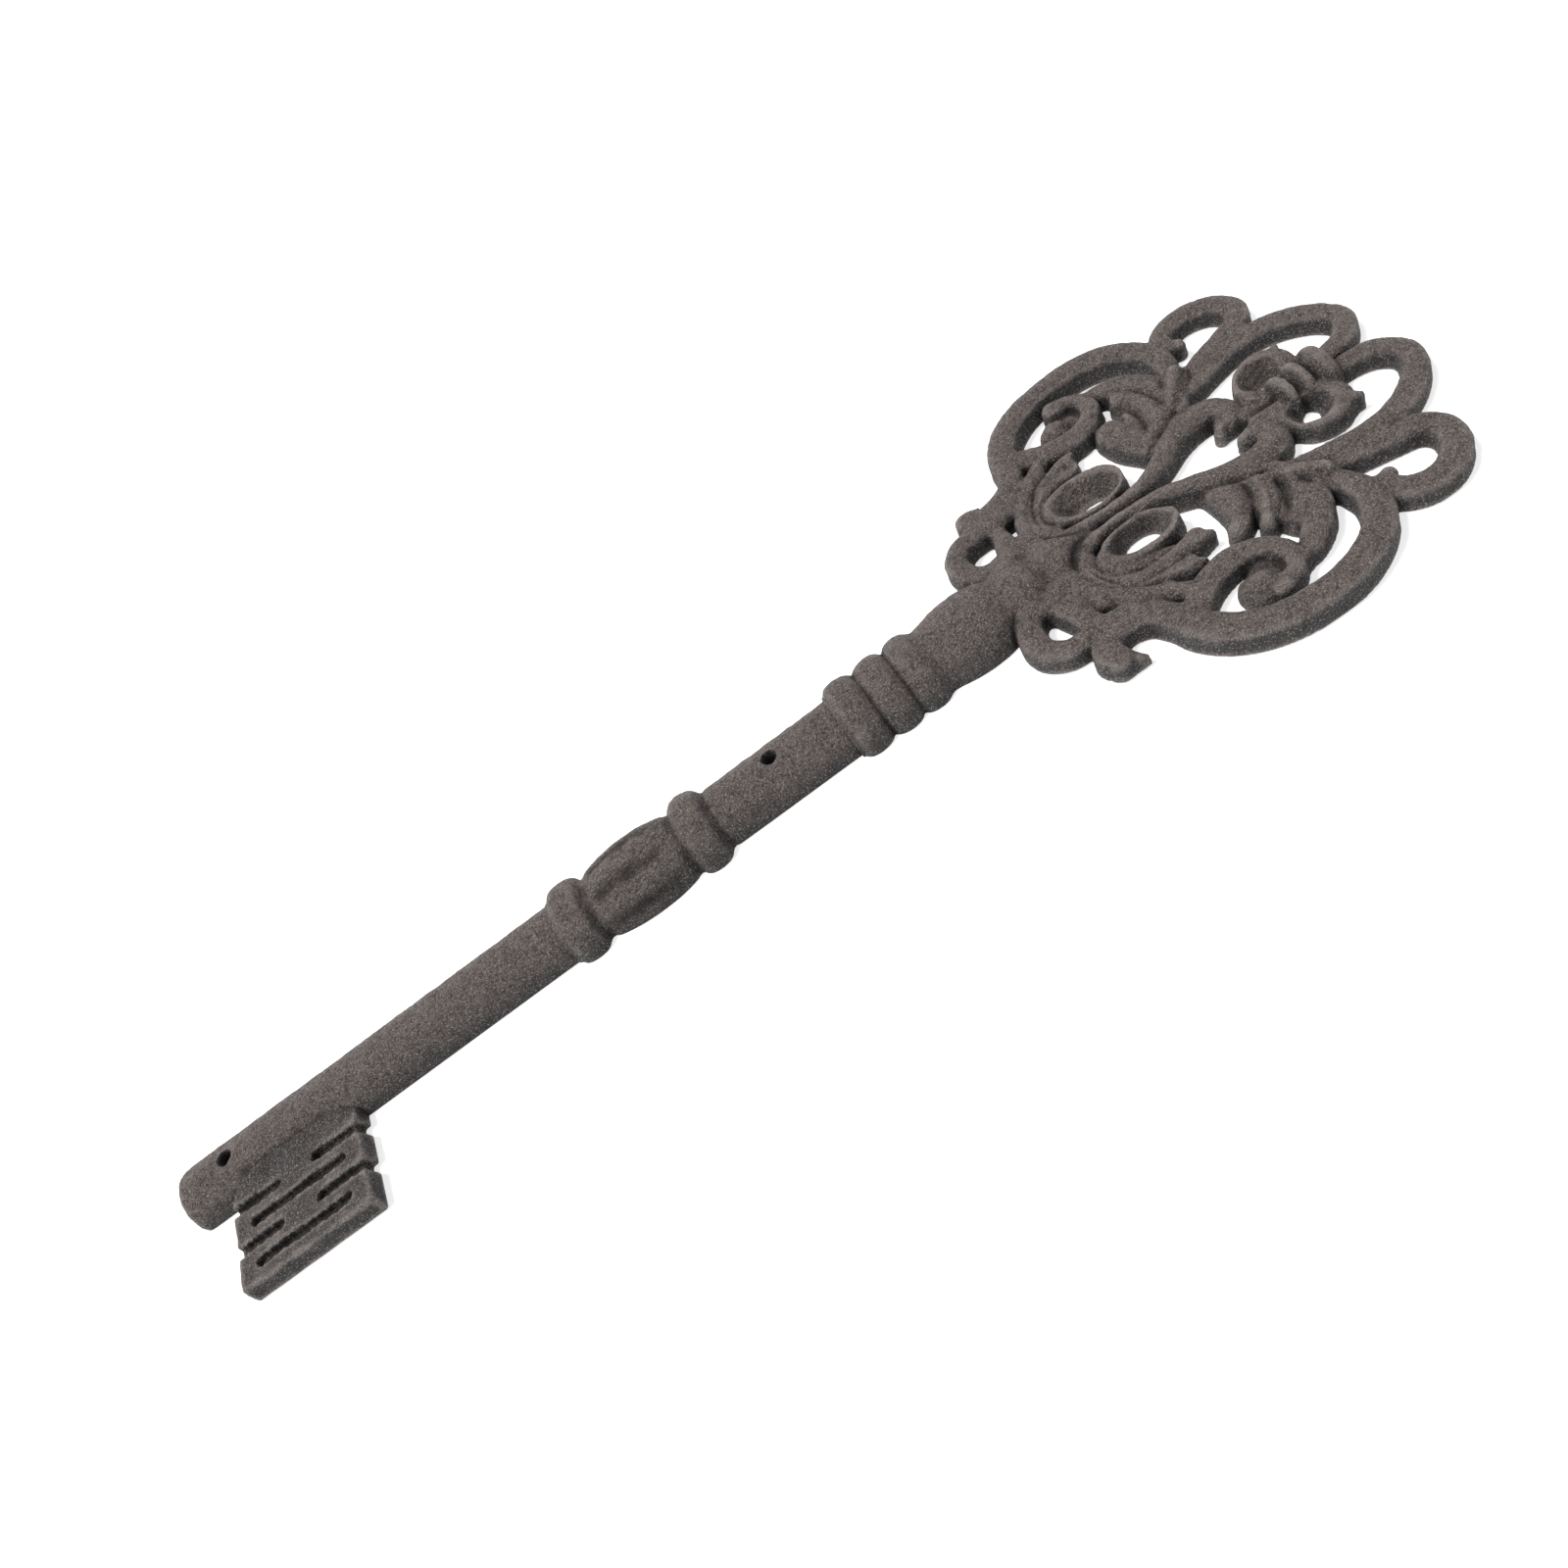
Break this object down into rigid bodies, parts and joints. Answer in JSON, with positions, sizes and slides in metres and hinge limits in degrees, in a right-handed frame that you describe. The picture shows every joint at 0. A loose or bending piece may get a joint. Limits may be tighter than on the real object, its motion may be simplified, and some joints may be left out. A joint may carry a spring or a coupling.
{
  "type": "decorative skeleton key",
  "caption": "Flat-backed cast iron ornamental skeleton key with a scrolled openwork bow, ringed shank, slotted bit and screw holes for wall mounting.",
  "frame": {"origin": "middle of the key's length and width on the flat back", "axes": "+X from the tip of the shank to the end of the bow, +Y to the side away from the bit, +Z from the flat back to the front"},
  "size_m": [0.3462, 0.1074, 0.0118],
  "materials": {
    "cast_iron": "dark oiled sand-cast skin, lightly worn bright on the high edges"
  },
  "bodies": {
    "root": {"front_shank": "cast_iron", "bit_plate": "cast_iron", "front_collar": "cast_iron", "fluted_baluster": "cast_iron", "rear_collar": "cast_iron", "rear_shank": "cast_iron", "neck_ring_1": "cast_iron", "neck_ring_2": "cast_iron", "neck_ring_3": "cast_iron", "neck_baluster": "cast_iron", "neck_bulb": "cast_iron", "bow_trunk": "cast_iron", "tie_bead_small": "cast_iron", "tie_bead_middle": "cast_iron", "tie_bead_large": "cast_iron", "neck_lobe_left": "cast_iron", "neck_lobe_right": "cast_iron", "lower_loop_left": "cast_iron", "lower_loop_right": "cast_iron", "leaf_eye_left": "cast_iron", "leaf_eye_right": "cast_iron", "acanthus_leaf_left": "cast_iron", "acanthus_leaf_right": "cast_iron", "central_stem_left": "cast_iron", "central_stem_right": "cast_iron", "curl_ring_left": "cast_iron", "curl_ring_right": "cast_iron", "leaf_lobes_left": "cast_iron", "leaf_lobes_right": "cast_iron", "bud_left": "cast_iron", "bud_right": "cast_iron", "crescent_leaf_left": "cast_iron", "crescent_leaf_right": "cast_iron", "inner_spiral_left": "cast_iron", "inner_spiral_right": "cast_iron", "outer_scroll_foot_left": "cast_iron", "outer_scroll_foot_right": "cast_iron", "outer_scroll_arch_left": "cast_iron", "outer_scroll_arch_right": "cast_iron", "heart_loop_left": "cast_iron", "heart_loop_right": "cast_iron", "side_loop_left": "cast_iron", "side_loop_right": "cast_iron"}
  },
  "joints": []
}
